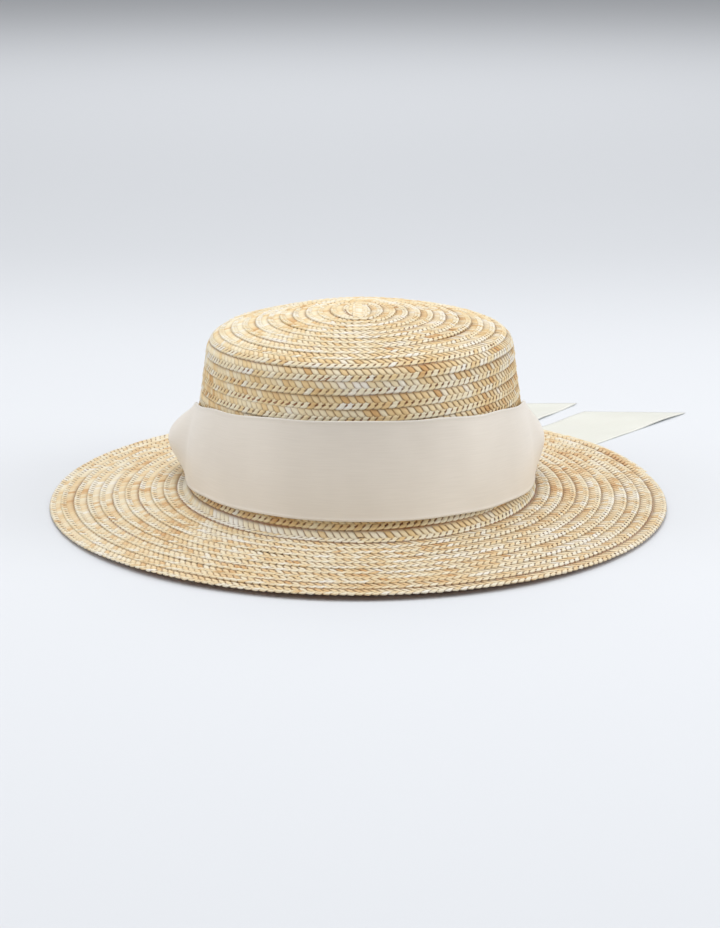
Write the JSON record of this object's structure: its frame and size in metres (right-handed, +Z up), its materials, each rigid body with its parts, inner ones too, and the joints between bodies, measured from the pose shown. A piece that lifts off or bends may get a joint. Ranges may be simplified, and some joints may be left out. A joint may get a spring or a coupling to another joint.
{
  "type": "straw boater hat",
  "caption": "Oval straw boater with a low domed tip, a wide flat brim, a satin ribbon round the crown and loose ribbon ties lying behind it.",
  "frame": {"origin": "on the surface that the hat rests on, below the middle of the head opening", "axes": "+Z up through the crown, -Y towards the front of the hat, +X across it to the right of someone who looks at the front"},
  "size_m": [0.3438, 0.3711, 0.0973],
  "materials": {
    "crown_straw": "sewn natural straw plait",
    "brim_straw": "sewn natural straw plait",
    "ribbon_satin": "cream satin ribbon",
    "tie_satin": "cream satin ribbon"
  },
  "bodies": {
    "root": {"crown": "crown_straw", "brim": "brim_straw", "ribbon_band": "ribbon_satin", "ribbon_tie_back": "tie_satin", "ribbon_tie_side": "tie_satin"}
  },
  "joints": []
}
